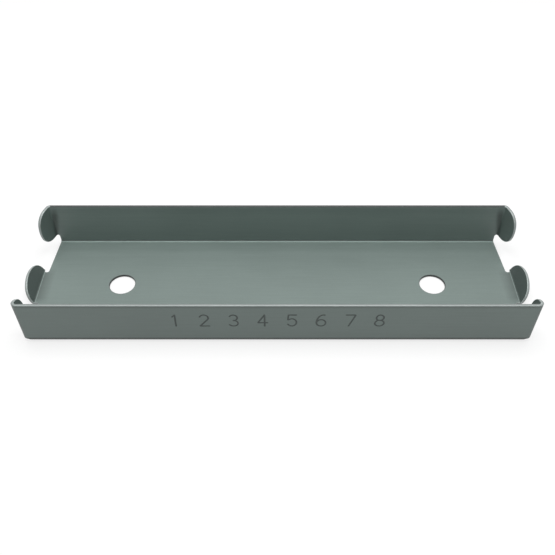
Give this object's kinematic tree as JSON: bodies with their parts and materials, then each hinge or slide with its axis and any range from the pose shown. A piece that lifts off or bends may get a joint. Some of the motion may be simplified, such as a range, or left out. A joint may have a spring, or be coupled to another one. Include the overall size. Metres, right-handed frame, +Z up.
{
  "type": "coin tray",
  "caption": "Long open-topped coin tray folded from one sheet of grey metal, with low side walls, rounded ears at both ends and round holes through the floor.",
  "frame": {"origin": "centre of the underside, on the surface that the tray stands on", "axes": "+X along the tray to its right end, +Y from the front wall to the back wall, +Z up"},
  "size_m": [0.2298, 0.0634, 0.0234],
  "materials": {
    "grey_sheet": "satin grey coating with brighter cut edges"
  },
  "bodies": {
    "root": {"folded_tray": "grey_sheet"}
  },
  "joints": []
}
